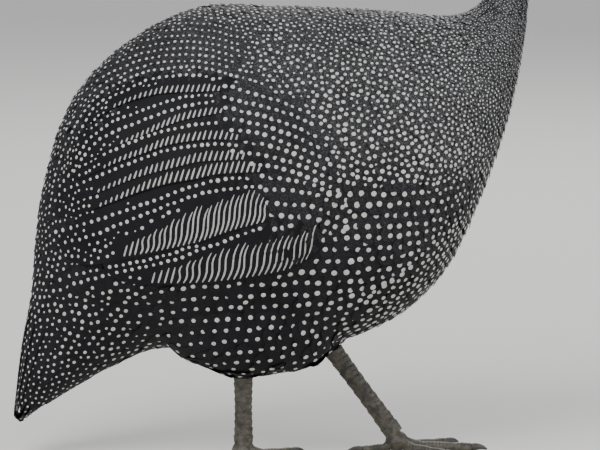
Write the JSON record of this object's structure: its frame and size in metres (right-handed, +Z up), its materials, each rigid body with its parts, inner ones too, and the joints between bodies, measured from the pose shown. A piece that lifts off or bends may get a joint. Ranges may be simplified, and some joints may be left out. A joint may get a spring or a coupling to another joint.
{
  "type": "helmeted guinea fowl, still life-size model",
  "caption": "Life-size helmeted guinea fowl standing in mid-stride, dark plumage spotted white, bare blue neck, horned casque, wattles and folded wings.",
  "frame": {"origin": "on the floor, under the middle of the bird's box", "axes": "+Z up, +X the way the bird faces, +Y to its left"},
  "size_m": [0.4223, 0.18, 0.4716],
  "materials": {
    "plumage": "soft, close feathers, near black with off-white spots",
    "neck_plumage": "fine grey feathers, finely barred",
    "bare_skin": "bare, finely wrinkled blue-grey skin",
    "casque_horn": "dull horn over bone",
    "bill_horn": "smooth horn, reddish at the base",
    "wattle_skin": "soft folded skin, blue with red tips",
    "eye_brown": "wet, dark brown",
    "shank_skin": "horny scutes, grey-brown and mottled",
    "claw_horn": "dark horn"
  },
  "bodies": {
    "root": {"torso": "plumage", "tail": "plumage", "neck_lower": "neck_plumage", "neck_upper": "bare_skin", "head": "bare_skin", "casque": "casque_horn", "bill_upper": "bill_horn", "bill_lower": "bill_horn", "wing_R": "plumage", "eye_R": "eye_brown", "wattle_R": "wattle_skin", "thigh_R": "plumage", "tarsus_R": "shank_skin", "toe_middle_R": "shank_skin", "claw_middle_R": "claw_horn", "toe_inner_R": "shank_skin", "claw_inner_R": "claw_horn", "toe_outer_R": "shank_skin", "claw_outer_R": "claw_horn", "toe_hind_R": "shank_skin", "claw_hind_R": "claw_horn", "wing_L": "plumage", "eye_L": "eye_brown", "wattle_L": "wattle_skin", "thigh_L": "plumage", "tarsus_L": "shank_skin", "toe_middle_L": "shank_skin", "claw_middle_L": "claw_horn", "toe_inner_L": "shank_skin", "claw_inner_L": "claw_horn", "toe_outer_L": "shank_skin", "claw_outer_L": "claw_horn", "toe_hind_L": "shank_skin", "claw_hind_L": "claw_horn"}
  },
  "joints": []
}
